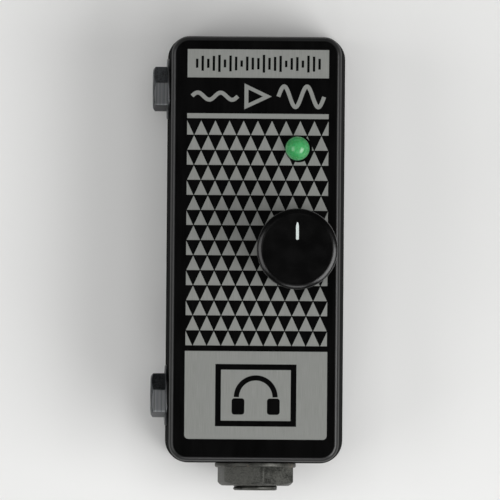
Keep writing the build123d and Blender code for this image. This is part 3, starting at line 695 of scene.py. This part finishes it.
def finished(name, bm, look, body, nodes=(), sharp=28):
    """A smooth-shaded piece from a bmesh, creased where faces meet at more than sharp degrees."""
    bmesh.ops.recalc_face_normals(bm, faces=bm.faces)
    for face in bm.faces:
        face.smooth = True
    for edge in bm.edges:
        edge.smooth = edge.calc_face_angle(0.0) < math.radians(sharp)
    mesh = bpy.data.meshes.new(name)
    bm.to_mesh(mesh)
    bm.free()
    mesh.materials.append(look)
    made = bpy.data.objects.new(name, mesh)
    bpy.context.scene.collection.objects.link(made)
    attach(made, body)
    if nodes:
        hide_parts(*nodes)
    return made


def turned(axis, outline, steps=96, start=0.0):
    """Bmesh of an outline of (radius, along) points turned about an axis and closed on itself.
    A radius may be a function of the angle and the distance along."""
    bm = bmesh.new()
    rings = []
    for radius, along in outline:
        if radius == 0:
            rings.append([bm.verts.new(axis.point(0, 0, along))] * steps)
            continue
        ring = []
        for step in range(steps):
            angle = start + step * math.tau / steps
            reach = radius(angle, along) if callable(radius) else radius
            ring.append(bm.verts.new(axis.point(reach, angle, along)))
        rings.append(ring)
    for ring, following in zip(rings, rings[1:] + rings[:1]):
        for step in range(steps):
            beside = (step + 1) % steps
            corners = [ring[step], ring[beside], following[beside], following[step]]
            corners = list(dict.fromkeys(corners))
            if len(corners) > 2:
                bm.faces.new(corners)
    return bm


def rounded(corner, radius, first, last, steps=6):
    """Arc of (radius, along) points about a corner's centre, between two angles in degrees."""
    arc = []
    for step in range(steps + 1):
        angle = math.radians(first + (last - first) * step / steps)
        arc.append((corner[0] + radius * math.cos(angle), corner[1] + radius * math.sin(angle)))
    return arc


def washer(name, axis, node, look, body):
    """Flat ring with rolled edges in a CAD washer's place."""
    low, high = axis.span(node)
    bore, rim = axis.radii(node)
    roll = (high - low) * WASHER_ROLL_SHARE
    outline = [(bore, low), *rounded((rim - roll, low + roll), roll, -90, 0)]
    outline += rounded((rim - roll, high - roll), roll, 0, 90)
    outline += rounded((bore + roll, high - roll), roll, 90, 180)
    finished(name, turned(axis, outline), look, body, [node])


def hexagon_nut(name, axis, node, look, body):
    """Hexagon nut in a CAD nut's place: corners turned off outside, and a countersunk bore."""
    low, high = axis.span(node)
    bore, corner = axis.radii(node)
    apothem = corner * math.cos(math.radians(30))
    rim = apothem * NUT_FACE_SHARE
    start = axis.corner_angle(node)
    blunt = corner * NUT_CORNER_SHARE
    fall = math.tan(math.radians(30))
    drop = (corner - rim) * fall

    def flank(angle, along):
        side = (angle - start) % (math.tau / 6) - math.tau / 12
        cone = rim + (high - along) / fall
        return min(apothem / math.cos(side), cone, blunt)

    steps = 12
    levels = [low] + [high - drop * step / steps for step in range(steps, -1, -1)]
    sink = NUT_SINK * MM
    outline = [(bore, low), *[(flank, level) for level in levels]]
    outline += [(bore + sink, high), (bore, high - sink)]
    finished(name, turned(axis, outline, 144, start), look, body, [node])


def threaded(radius, depth, pitch, low, high):
    """Outline levels of a screw thread between two distances, fading out at its end."""

    def crest(angle, along):
        turn = (along / pitch - angle / math.tau) % 1.0
        fade = min(1.0, (high - along) / pitch + 0.15)
        return radius - depth * abs(2 * turn - 1) * fade

    levels = max(2, round((high - low) / pitch * 10))
    return [(crest, low + (high - low) * level / levels) for level in range(levels + 1)]


# ---- Print on the face ----------------------------------------------------------------------------

# Panel layout: x from the panel's middle, y in the object's frame, millimetres
PANEL_X = 0.35
PANEL_HALF = 15.0
HEADER = (36.3, 42.3)
GLYPH = (29.5, 35.2)
RULE = (27.65, 28.7)
FIELD_TOP = 27.2
ROW_PITCH = 3.19
ROW_HEIGHT = 3.05
ROW_COUNT = 15
COLUMN_COUNT = 10
TRIANGLE_GAP = 0.16
LOWER_PANEL = (-40.35, -21.7)
LOWER_CORNER = 0.85
LOWER_PANEL_EXTRA = 0.1
PRINT_THICKNESS = 0.02
PRINT_SUNK = 0.005


def rectangle(low_x, low_y, high_x, high_y):
    return [(low_x, low_y), (high_x, low_y), (high_x, high_y), (low_x, high_y)]


def round_box(low_x, low_y, high_x, high_y, radii, steps=6):
    """Rectangle with its own radius at each corner, from the lower left and round anticlockwise."""
    corners = ((low_x, low_y, 1, 1, 180), (high_x, low_y, -1, 1, 270),
               (high_x, high_y, -1, -1, 0), (low_x, high_y, 1, -1, 90))
    outline = []
    for (x, y, inward_x, inward_y, first), radius in zip(corners, radii):
        if radius == 0:
            outline.append((x, y))
            continue
        centre = (x + inward_x * radius, y + inward_y * radius)
        outline += rounded(centre, radius, first, first + 90, steps)
    return outline


def printed(name, outlines):
    """Thin layer of silver ink on the face; an outline inside another is left bare."""
    curve = bpy.data.curves.new(name, "CURVE")
    curve.dimensions = "2D"
    curve.fill_mode = "BOTH"
    curve.extrude = (PRINT_THICKNESS + PRINT_SUNK) / 2 * MM
    for outline in outlines:
        spline = curve.splines.new("POLY")
        spline.points.add(len(outline) - 1)
        for point, (x, y) in zip(spline.points, outline):
            point.co = ((x + PANEL_X) * MM, y * MM, 0, 1)
        spline.use_cyclic_u = True
    holder = bpy.data.objects.new(name, curve)
    bpy.context.scene.collection.objects.link(holder)
    bpy.context.view_layer.update()
    bm = bmesh.new()
    bm.from_mesh(bpy.data.meshes.new_from_object(holder))
    bpy.data.objects.remove(holder)
    middle = face_z + (PRINT_THICKNESS - PRINT_SUNK) / 2 * MM
    bmesh.ops.translate(bm, verts=bm.verts, vec=(0, 0, middle))
    bmesh.ops.remove_doubles(bm, verts=bm.verts, dist=1e-7)
    return finished(name, bm, looks["silver_print"], "case")


def bored(piece, axis, radius, low, high):
    """Cut a round hole through a piece, along an axis."""
    cutter_mesh = bpy.data.meshes.new("cutter")
    bm = turned(axis, [(0, low), (radius, low), (radius, high), (0, high)], 64)
    bmesh.ops.recalc_face_normals(bm, faces=bm.faces)
    bm.to_mesh(cutter_mesh)
    bm.free()
    cutter = bpy.data.objects.new("cutter", cutter_mesh)
    bpy.context.scene.collection.objects.link(cutter)
    cut = piece.modifiers.new("bore", "BOOLEAN")
    cut.operation = "DIFFERENCE"
    cut.solver = "EXACT"
    cut.object = cutter
    evaluated = piece.evaluated_get(bpy.context.evaluated_depsgraph_get())
    shaped = bpy.data.meshes.new_from_object(evaluated)
    piece.modifiers.clear()
    piece.data = shaped
    bpy.data.objects.remove(cutter)


def stroke(points, width):
    """Outline of a line of the given width through points."""
    left, right = [], []
    for index, (x, y) in enumerate(points):
        before = points[max(index - 1, 0)]
        after = points[min(index + 1, len(points) - 1)]
        run, rise = after[0] - before[0], after[1] - before[1]
        length = math.hypot(run, rise)
        across = (-rise / length * width / 2, run / length * width / 2)
        left.append((x + across[0], y + across[1]))
        right.append((x - across[0], y - across[1]))
    return left + right[::-1]


def level_bars():
    """Bare bars of changing height, as on a sound level display."""
    count, pitch, width = 23, 1.18, 0.52
    shortest, tallest_extra = 0.35, 1.55
    middle = sum(HEADER) / 2
    bars = []
    for index in range(count):
        x = (index - (count - 1) / 2) * pitch
        swing = abs(math.sin(1.13 * index + 0.6)) * 0.7 + abs(math.sin(0.37 * index)) * 0.3
        reach = shortest + tallest_extra * swing
        bars.append(rectangle(x - width / 2, middle - reach, x + width / 2, middle + reach))
    return bars


def amplifier_sign():
    """A small wave, the triangle that stands for an amplifier, and the same wave made larger."""
    middle = sum(GLYPH) / 2
    line, steps = 0.85, 120
    near, far, small, large = 4.3, 14.0, 0.75, 2.2
    outlines = []
    for first, last, reach in ((-far, -near, small), (near, far, large)):
        points = []
        for step in range(steps + 1):
            share = step / steps
            swing = reach * math.sin(share * 2 * math.tau)
            points.append((first + (last - first) * share, middle + swing))
        outlines.append(stroke(points, line))
    half, point = 2.75, 2.9
    border, tip = line * 1.5, 2.2 * line
    outlines.append([(-point, middle - half), (point, middle), (-point, middle + half)])
    outlines.append(
        [
            (line - point, middle - half + border),
            (point - tip, middle),
            (line - point, middle + half - border),
        ]
    )
    return outlines


def triangle_rows():
    """Rows of upward triangles, every other row set over by half a pitch."""
    pitch = 2 * PANEL_HALF / COLUMN_COUNT
    half = (pitch - TRIANGLE_GAP) / 2
    outlines = []
    for row in range(ROW_COUNT):
        apex = FIELD_TOP - row * ROW_PITCH
        base = apex - ROW_HEIGHT
        if row % 2:
            middles = [(column + 0.5) * pitch - PANEL_HALF for column in range(COLUMN_COUNT)]
        else:
            middles = [column * pitch - PANEL_HALF for column in range(1, COLUMN_COUNT)]
            for side in (-1, 1):
                edge = side * PANEL_HALF
                outlines.append([(edge, apex), (edge, base), (edge - side * half, base)])
        outlines += [[(x, apex), (x - half, base), (x + half, base)] for x in middles]
    return outlines


def headphone_sign():
    """Bare frame with a pair of headphones in it."""
    middle_y = sum(LOWER_PANEL) / 2
    frame_x, frame_y, border = 8.6, 6.6, 1.2
    outer = rectangle(-frame_x, middle_y - frame_y, frame_x, middle_y + frame_y)
    inner = rectangle(
        border - frame_x, middle_y - frame_y + border, frame_x - border, middle_y + frame_y - border
    )
    radius, line, band_y = 4.1, 1.1, middle_y - 0.4
    cup_half, cup_low, cup_high, cup_inset, cup_round = 1.35, 3.7, 0.25, 0.35, 0.6
    band = stroke(rounded((0, band_y), radius, 180, 0, 40), line)
    cups = [
        round_box(x - cup_half, band_y - cup_low, x + cup_half, band_y - cup_high, (cup_round,) * 4)
        for x in (-radius + cup_inset, radius - cup_inset)
    ]
    return [outer, inner, band, *cups]


def face_print():
    header = rectangle(-PANEL_HALF, HEADER[0], PANEL_HALF, HEADER[1])
    printed("print_header", [header, *level_bars()])
    printed("print_amplifier_sign", amplifier_sign())
    printed("print_rule", [rectangle(-PANEL_HALF, RULE[0], PANEL_HALF, RULE[1])])
    field = printed("print_triangles", triangle_rows())
    span = 1 * MM
    clearing = Turned(led_axis.origin + Vector(LED_CLEARING_SHIFT) * MM, led_axis.axis)
    bored(field, clearing, LED_CLEARING * MM, -span, span)
    bored(field, knob_axis, POT_WASHER * MM, -span, span)
    low, high = LOWER_PANEL
    half = PANEL_HALF + LOWER_PANEL_EXTRA
    edge = round_box(-half, low, half, high, (LOWER_CORNER, LOWER_CORNER, 0, 0))
    printed("print_panel", [edge, *headphone_sign()])


# ---- Knob, indicator and jacks --------------------------------------------------------------------


def knob():
    """Turned-look knob: a flat disc set in a raised, rolled rim, hollow below for its insert."""
    low, high = knob_axis.span("knob_body")
    _, wall = knob_axis.radii("knob_body")
    insert_wall = knob_axis.radii("knob_insert")[1]
    insert_low, insert_top = knob_axis.span("knob_insert")
    foot, nose, sink, recess = KNOB_FOOT * MM, KNOB_NOSE * MM, KNOB_SINK * MM, KNOB_RECESS * MM
    sweep, steep, shallow = KNOB_SWEEP * MM, math.radians(KNOB_STEEP), math.radians(KNOB_SHALLOW)
    nose_reach = wall - nose
    nose_drop = nose * math.cos(steep)
    rim_outer = nose_reach + nose * math.sin(steep)
    rim_inner = rim_outer - sweep * (math.sin(steep) - math.sin(shallow))
    rim_drop = sweep * (math.cos(shallow) - math.cos(steep))
    centre = (rim_outer - sweep * math.sin(steep), high - sweep * math.cos(shallow))
    outline = [(recess, low), *rounded((wall - foot, low + foot), foot, -90, 0)]
    outline += rounded((nose_reach, high - rim_drop - nose_drop), nose, 0, 90 - KNOB_STEEP, 8)
    outline += rounded(centre, sweep, 90 - KNOB_STEEP, 90 - KNOB_SHALLOW, 10)
    outline += [(rim_inner - sink / 2, high - sink), (0, high - sink)]
    outline += [(0, insert_top), (insert_wall, insert_top)]
    outline += [(insert_wall, insert_low), (recess, insert_low)]
    shape = turned(knob_axis, outline, 160)
    body = finished(
        "knob_shell", shape, looks["knob_black"], "volume", ["knob_body"]
    )
    grub_low, grub_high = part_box("knob_grub_screw")
    grub_x, grub_z = (grub_low.x + grub_high.x) / 2, (grub_low.z + grub_high.z) / 2
    grub = Turned((grub_x, knob_axis.origin.y, grub_z), (0, -1, 0))
    hole = (grub_high.x - grub_low.x) / 2 + GRUB_GAP * MM
    bored(body, grub, hole, insert_wall - 1 * MM, wall + 1 * MM)
    return sink


def knob_pointer(sink):
    """White inlay: blunt at the middle of the knob and narrower at the rim."""
    low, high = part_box("knob_pointer")
    middle = (low.x + high.x) / 2
    half, length = (high.x - low.x) / 2, high.y - low.y
    steps = 24
    sides = []
    for step in range(steps + 1):
        share = step / steps
        near = min(share / POINTER_BLUNT_SHARE, 1)
        blunt = math.sqrt(1 - (1 - near) ** 2 * POINTER_BLUNT_CUT)
        beyond = max(0, (share - POINTER_TAPER_START) / POINTER_TAPER_LENGTH)
        taper = 1 - POINTER_TAPER_CUT * beyond ** 2
        sides.append((half * blunt * taper, low.y + length * share))
    outline = [(-width, y) for width, y in sides] + [(width, y) for width, y in sides[-2::-1]]
    bm = bmesh.new()
    top = high.z - sink + POINTER_RISE * MM
    under = [bm.verts.new((middle + x, y, low.z)) for x, y in outline]
    over = [bm.verts.new((middle + x, y, top)) for x, y in outline]
    bm.faces.new(under)
    bm.faces.new(over)
    for index in range(len(outline)):
        beside = (index + 1) % len(outline)
        bm.faces.new([under[index], under[beside], over[beside], over[index]])
    finished("knob_mark", bm, looks["pointer_white"], "volume", ["knob_pointer"])


def indicator():
    """Indicator lens: a flange, a barrel and a domed end."""
    low, high = led_axis.span("led_lens")
    _, flange = led_axis.radii("led_lens")
    barrel = LED_BARREL * MM
    lip, blunt = LED_FLANGE_HEIGHT * MM, LED_FLANGE_ROUND * MM
    outline = [(0, low), (flange - blunt, low), (flange, low + blunt), (flange, low + lip - blunt)]
    outline += [(flange - blunt, low + lip), (barrel, low + lip)]
    outline += rounded((0, high - barrel), barrel, 0, 90, 24)[:-1] + [(0, high)]
    shape = turned(led_axis, outline, 96)
    finished("indicator_lens", shape, looks["led_green"], "case", ["led_lens"])


def input_socket():
    """Input jack's bush with its thread, and the nut and washer that hold it."""
    axis = input_axis
    back, end = axis.span("input_jack_bush")
    bore, flange = axis.radii("input_jack_bush")
    thread = axis.radii("input_jack_nut")[0] - NUT_GAP * MM
    nut_top = axis.span("input_jack_nut")[1]
    collar, collar_end, wall = INPUT_COLLAR * MM, INPUT_COLLAR_END * MM, WALL_OUTSIDE * MM
    depth, pitch = INPUT_THREAD
    below_nut_top, below_end = INPUT_THREAD_ENDS
    mouth = INPUT_MOUTH_ROUND * MM
    look, slot = looks["jack_nickel"], "jack_nickel"
    outline = [(bore, back), (collar, back), (collar, collar_end), (flange, collar_end)]
    outline += [(flange, wall), (thread, wall)]
    outline += threaded(
        thread, depth * MM, pitch * MM, nut_top - below_nut_top * MM, end - below_end * MM
    )
    outline += [(thread - INPUT_END_CHAMFER * MM, end)]
    outline += rounded((bore + mouth, end - mouth), mouth, 90, 180)
    shape = turned(axis, outline, 120)
    finished("input_socket_bush", shape, look, "case", ["input_jack_bush"])
    hexagon_nut("input_socket_nut", axis, "input_jack_nut", look, "case")
    washer("input_socket_washer", axis, "input_jack_washer", looks["jack_washer"], "case")


def headphone_socket(place):
    """One headphone jack's bush, nut and washer."""
    axis = headphone_axes[place]
    stem = f"headphone_jack_{place}"
    back, end = axis.span(f"{stem}_bush")
    bore, flange = axis.radii(f"{stem}_bush")
    thread = axis.radii(f"{stem}_nut")[0] - NUT_GAP * MM
    wall = WALL_OUTSIDE * MM
    depth, pitch = HEADPHONE_THREAD
    first, last = HEADPHONE_THREAD_ENDS
    mouth = HEADPHONE_MOUTH_ROUND * MM
    look, made = looks[f"side_nickel_{place}"], f"headphone_socket_{place}"
    outline = [(bore, back), (flange, back), (flange, wall), (thread, wall)]
    outline += threaded(thread, depth * MM, pitch * MM, end - first * MM, end - last * MM)
    outline += [(thread - HEADPHONE_END_CHAMFER * MM, end)]
    outline += rounded((bore + mouth, end - mouth), mouth, 90, 180)
    shape = turned(axis, outline, 96)
    finished(f"{made}_bush", shape, look, "case", [f"{stem}_bush"])
    hexagon_nut(f"{made}_nut", axis, f"{stem}_nut", look, "case")
    washer(f"{made}_washer", axis, f"{stem}_washer", look, "case")


def foam_pad():
    """Foam pad under the battery: a slab with soft edges and a slightly crowned top."""
    low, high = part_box("battery_pad")
    size = high - low
    bm = bmesh.new()
    rows, columns = 36, 22
    crown, soft = FOAM_CROWN * MM, FOAM_SOFT_EDGE * MM
    grid = {}
    for level in (0, 1):
        for row in range(rows + 1):
            for column in range(columns + 1):
                u, v = column / columns, row / rows
                edge = min(u, 1 - u, v, 1 - v)
                x, y = low.x + size.x * u, low.y + size.y * v
                from_side = min(x - low.x, high.x - x, y - low.y, high.y - y)
                drop = soft * 0.6 * max(0, 1 - from_side / soft) ** 2
                wave = math.sin(2.1 * row) * math.sin(1.7 * column)
                dimple = FOAM_DIMPLE * MM * wave * min(1, edge * 8)
                top = high.z - crown + crown * min(1, edge * 6) - drop - abs(dimple)
                grid[level, row, column] = bm.verts.new((x, y, top if level else low.z))
    for level in (0, 1):
        for row in range(rows):
            for column in range(columns):
                corners = [(row, column), (row, column + 1), (row + 1, column + 1), (row + 1, column)]
                bm.faces.new([grid[level, r, c] for r, c in corners])
    border = [(0, c) for c in range(columns)] + [(r, columns) for r in range(rows)]
    border += [(rows, c) for c in range(columns, 0, -1)] + [(r, 0) for r in range(rows, 0, -1)]
    for (r, c), (s, d) in zip(border, border[1:] + border[:1]):
        bm.faces.new([grid[0, r, c], grid[0, s, d], grid[1, s, d], grid[1, r, c]])
    pad = finished("foam_pad", bm, looks["foam"], "base", ["battery_pad"], sharp=50)


# ---- Putting it together --------------------------------------------------------------------------

looks = {**metal_looks(), **plain_looks()}
looks["black_face"] = black_coat()
looks["silver_print"] = silver_print()
looks["knob_black"] = knob_gloss()
looks["pointer_white"] = pointer_paint()
looks["led_green"] = led_epoxy()
looks["board_green"] = board_resist()
looks["battery_jacket"] = battery_jacket()
looks["resistor_blue"] = resistor_paint()
looks["capacitor_sleeve"] = capacitor_sleeve()
looks["foam"] = foam_cells()
looks["jack_nickel"] = turned_metal(
    "jack_nickel", input_axis, (0.040, 0.041, 0.037), (0.150, 0.151, 0.138), (0.40, 0.62)
)
# The washer's glint colour is a painted highlight.
looks["jack_washer"] = turned_metal(
    "jack_washer",
    input_axis,
    (0.07, 0.07, 0.064),
    (0.14, 0.14, 0.128),
    (0.40, 0.58),
    glint=(0.30, 0.23, 0.16),
)
# Side jacks: the last colour is a painted highlight on their upward facets.
for place, axis in headphone_axes.items():
    looks[f"side_nickel_{place}"] = turned_metal(
        f"side_nickel_{place}",
        axis,
        (0.035, 0.037, 0.040),
        (0.100, 0.105, 0.112),
        (0.36, 0.50),
        facet_highlight=(0.38, 0.39, 0.40),
    )

for part in frame["record"]["subparts"]:
    shown = frame["nodes"][part["node"]]
    shown.data.materials.clear()
    shown.data.materials.append(looks[part["material_slot"]])

face_print()
knob_pointer(knob())
indicator()
input_socket()
for place in headphone_axes:
    headphone_socket(place)
foam_pad()


# ---- Floor, light and camera ----------------------------------------------------------------------


def floor():
    """Pale matt table top."""
    look = Look("pale_floor")
    cloud = look.noise(look.place((0.004, 0.004, 0.004)), detail=3.0)
    grain = look.noise(look.place((1.2, 1.2, 1.2)), detail=2.0)
    colour = look.colours(cloud, (0.3, (0.78, 0.78, 0.77)), (0.7, (0.84, 0.84, 0.83)))
    look.shade(Base_Color=colour, Roughness=look.spread(grain, 0.3, 0.7, 0.75, 0.85))
    mesh = bpy.data.meshes.new("floor")
    bm = bmesh.new()
    bmesh.ops.create_grid(bm, x_segments=8, y_segments=8, size=FLOOR_HALF)
    bm.to_mesh(mesh)
    bm.free()
    mesh.materials.append(look.material)
    made = bpy.data.objects.new("floor", mesh)
    bpy.context.scene.collection.objects.link(made)


def softbox(name, bearing, elevation, distance, size, power, mirrored):
    """Area light aimed at the frame's origin. Its bearing is anticlockwise from +X."""
    light = bpy.data.lights.new(name, "AREA")
    light.shape = "RECTANGLE"
    light.size, light.size_y = size
    light.energy = power
    made = bpy.data.objects.new(name, light)
    around, rise = math.radians(bearing), math.radians(elevation)
    level = math.cos(rise)
    towards = Vector((math.cos(around) * level, math.sin(around) * level, math.sin(rise)))
    made.location = towards * distance
    made.rotation_euler = towards.to_track_quat("Z", "Y").to_euler()
    made.visible_camera = False
    made.visible_glossy = mirrored
    bpy.context.scene.collection.objects.link(made)


def camera():
    """Long lens high above the control face, leaning a little from the input jack's side."""
    made = bpy.data.objects.new("camera", bpy.data.cameras.new("camera"))
    made.data.lens = CAMERA_LENS
    made.data.sensor_width = CAMERA_SENSOR
    made.data.clip_end = 100
    aim = Vector(CAMERA_AIM) * MM
    made.location = aim + Vector((0, CAMERA_LEAN * MM, CAMERA_HEIGHT))
    roll = math.radians(CAMERA_ROLL)
    back = (made.location - aim).normalized()
    right = Vector((-math.sin(roll), math.cos(roll), 0)).cross(back).normalized()
    turn = Matrix((right, back.cross(right), back)).transposed().to_4x4()
    made.matrix_world = Matrix.Translation(made.location) @ turn
    bpy.context.scene.collection.objects.link(made)
    bpy.context.scene.camera = made


floor()
camera()
for light in SOFTBOXES:
    softbox(*light)
world = bpy.data.worlds.new("studio")
world.use_nodes = True
world.node_tree.nodes["Background"].inputs["Color"].default_value = (*grey(1.0), 1)
world.node_tree.nodes["Background"].inputs["Strength"].default_value = WORLD_STRENGTH
bpy.context.scene.world = world
bpy.context.scene.view_settings.view_transform = "Standard"
